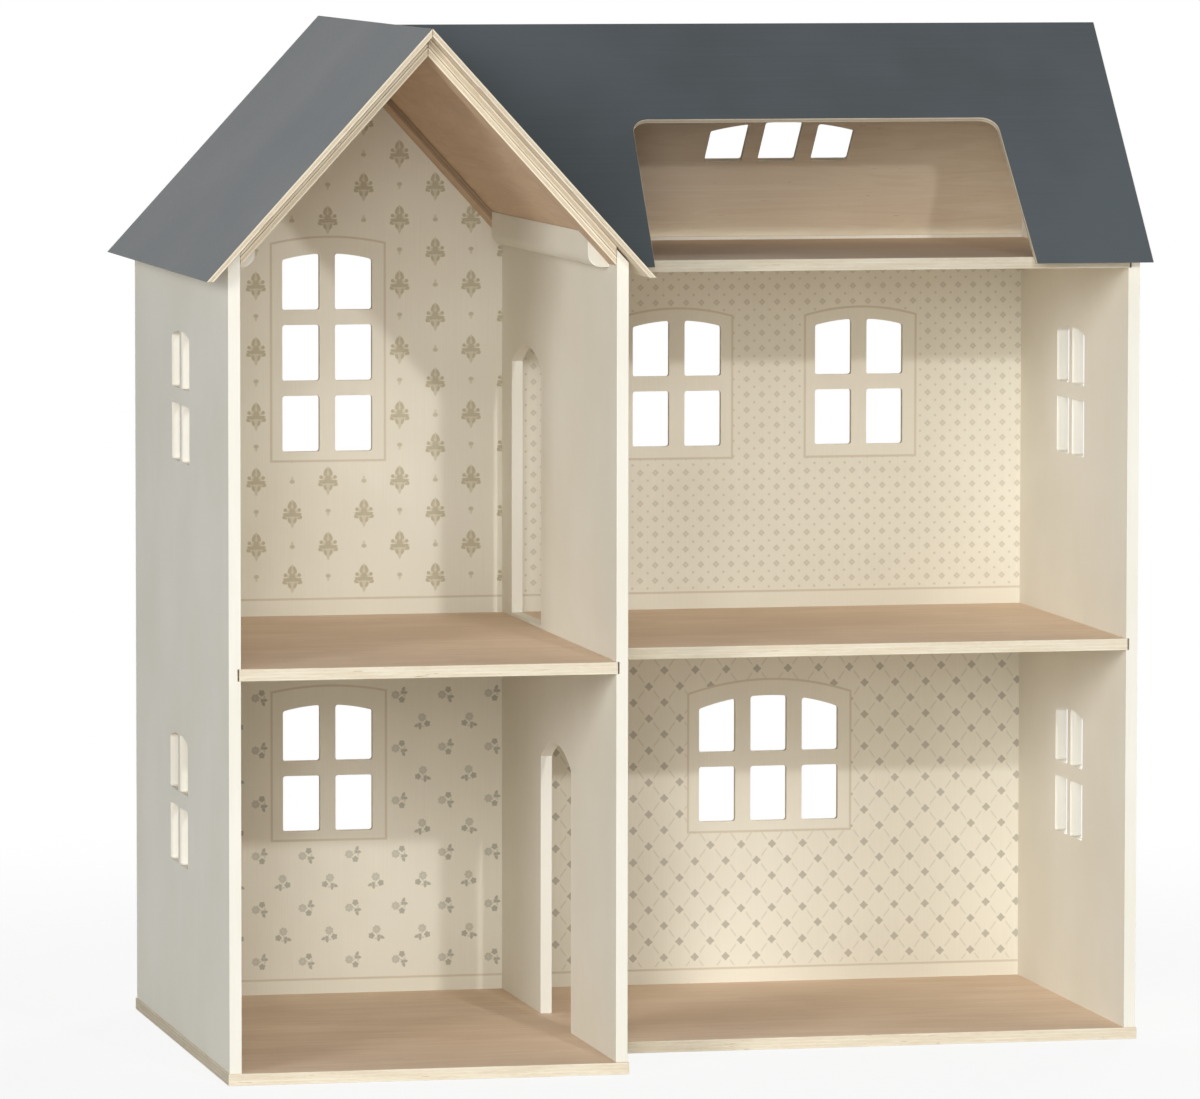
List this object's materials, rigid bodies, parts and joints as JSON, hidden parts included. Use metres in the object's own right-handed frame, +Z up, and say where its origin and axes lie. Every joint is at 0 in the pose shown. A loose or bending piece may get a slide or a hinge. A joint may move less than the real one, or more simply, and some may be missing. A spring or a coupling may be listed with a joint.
{
  "type": "wooden dollhouse",
  "caption": "Open-front plywood dollhouse: a gabled wing stands forward of a longer wing, with an attic behind a cut-out roof slope, arched windows and doorways.",
  "frame": {"origin": "on the floor, under the middle of the outline of the whole house", "axes": "+Z up; -Y towards the open front; +X to the right seen from the front, so the gabled wing is at -X"},
  "size_m": [0.75, 0.4654, 0.7798],
  "materials": {
    "cream_painted_ply": "cream paint on birch plywood, matt, ply layers bare at the cut edges",
    "printed_ply": "thin plywood with a printed wallpaper pattern, matt",
    "bare_ply": "bare birch plywood, fine sanded",
    "floor_ply": "birch plywood with a light brown stain, matt",
    "slate_painted_ply": "slate grey paint on thin plywood, matt outside, bare wood inside"
  },
  "bodies": {
    "root": {"left_side_wall": "cream_painted_ply", "partition_wall": "cream_painted_ply", "right_side_wall": "cream_painted_ply", "wall_rail_left": "cream_painted_ply", "wall_rail_right": "cream_painted_ply", "back_wall_left": "printed_ply", "back_wall_right": "printed_ply", "base_board": "bare_ply", "gable_lining_left": "bare_ply", "gable_lining_right": "bare_ply", "gable_batten_front_left": "bare_ply", "gable_batten_front_right": "bare_ply", "gable_batten_back_left": "bare_ply", "gable_batten_back_right": "bare_ply", "floor_left_first": "floor_ply", "floor_right_first": "floor_ply", "floor_attic": "floor_ply", "gable_roof_left": "slate_painted_ply", "gable_roof_right": "slate_painted_ply", "main_roof_front": "slate_painted_ply", "main_roof_back": "slate_painted_ply"}
  },
  "joints": []
}
